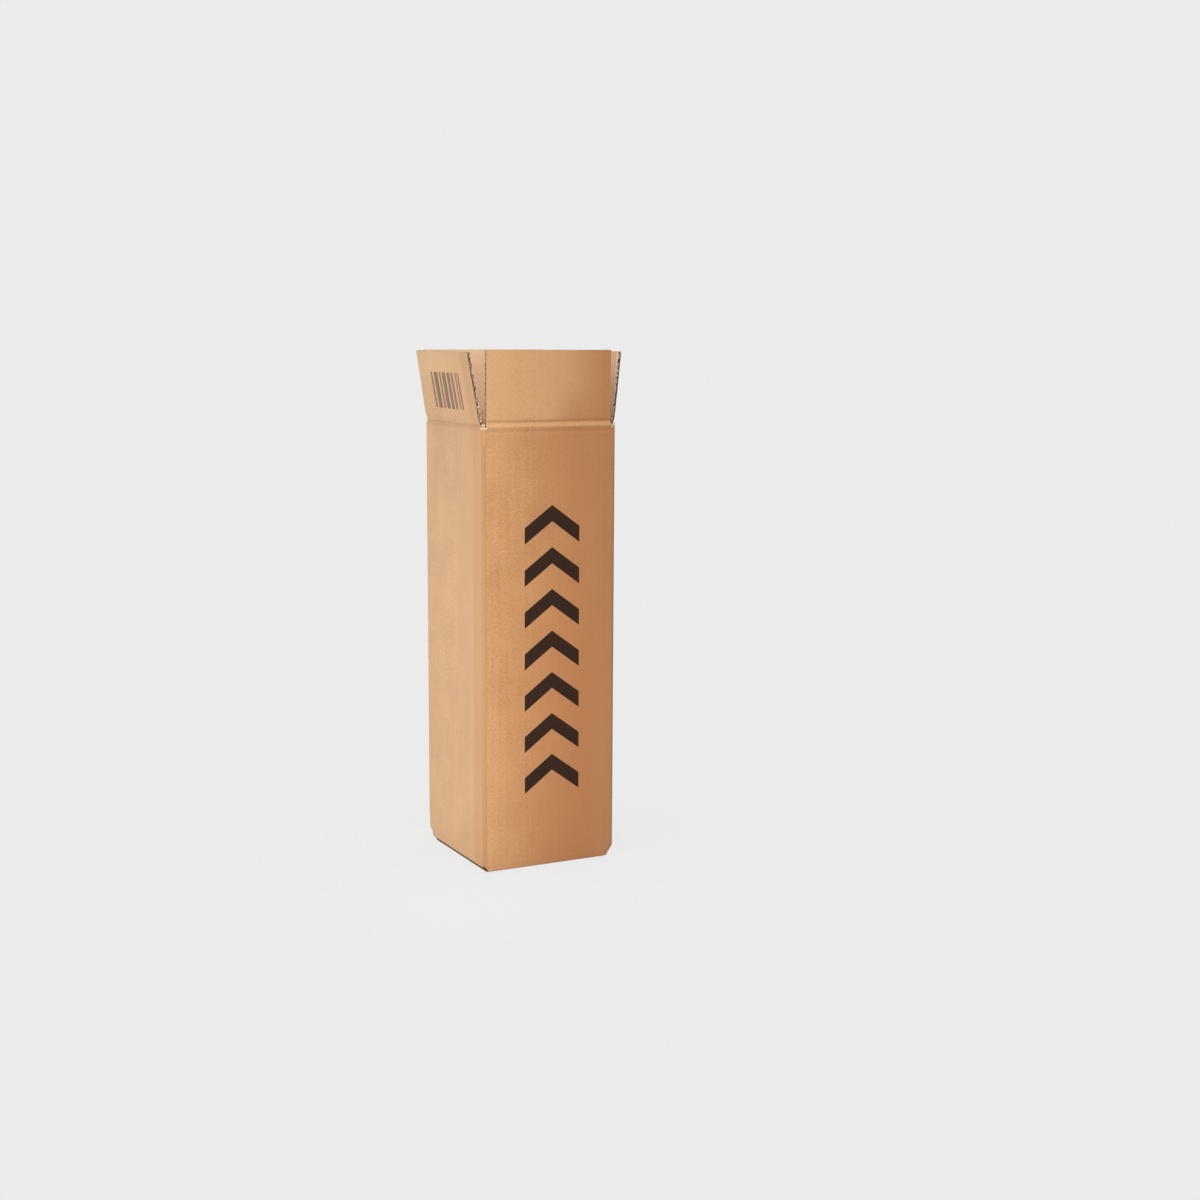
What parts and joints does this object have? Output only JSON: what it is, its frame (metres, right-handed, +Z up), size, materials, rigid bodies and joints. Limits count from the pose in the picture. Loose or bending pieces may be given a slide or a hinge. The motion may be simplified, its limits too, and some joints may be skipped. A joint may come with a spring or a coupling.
{
  "type": "bottle shipping box",
  "caption": "Tall slim corrugated board carton that holds a bottle in its cushioning, with hinged top flaps and a glued bottom.",
  "frame": {"origin": "on the ground, under the middle of the four walls", "axes": "+Z up along the walls, front wall facing -Y, left wall facing -X"},
  "size_m": [0.1442, 0.1408, 0.4481],
  "materials": {
    "kraft_board": "matt brown kraft liner",
    "flexo_ink": "matt dark brown water-based ink"
  },
  "bodies": {
    "carton": {"box_body": "kraft_board"},
    "front_flap": {"front_flap": "kraft_board"},
    "back_flap": {"back_flap": "kraft_board"},
    "left_flap": {"left_flap": "kraft_board"},
    "right_flap": {"right_flap": "kraft_board"}
  },
  "joints": [
    {"name": "front_crease", "type": "hinge", "parent": "carton", "child": "front_flap", "pos_m": [0, -0.0618, 0.3888], "axis": [1, 0, 0], "range_deg": [-90.5, 137.5]},
    {"name": "back_crease", "type": "hinge", "parent": "carton", "child": "back_flap", "pos_m": [0, 0.0618, 0.3888], "axis": [-1, 0, 0], "range_deg": [-104, 124]},
    {"name": "left_crease", "type": "hinge", "parent": "carton", "child": "left_flap", "pos_m": [-0.0618, 0, 0.3855], "axis": [0, -1, 0], "range_deg": [-100.5, 127.5]},
    {"name": "right_crease", "type": "hinge", "parent": "carton", "child": "right_flap", "pos_m": [0.0618, 0, 0.3855], "axis": [0, 1, 0], "range_deg": [-96.5, 131.5]}
  ]
}
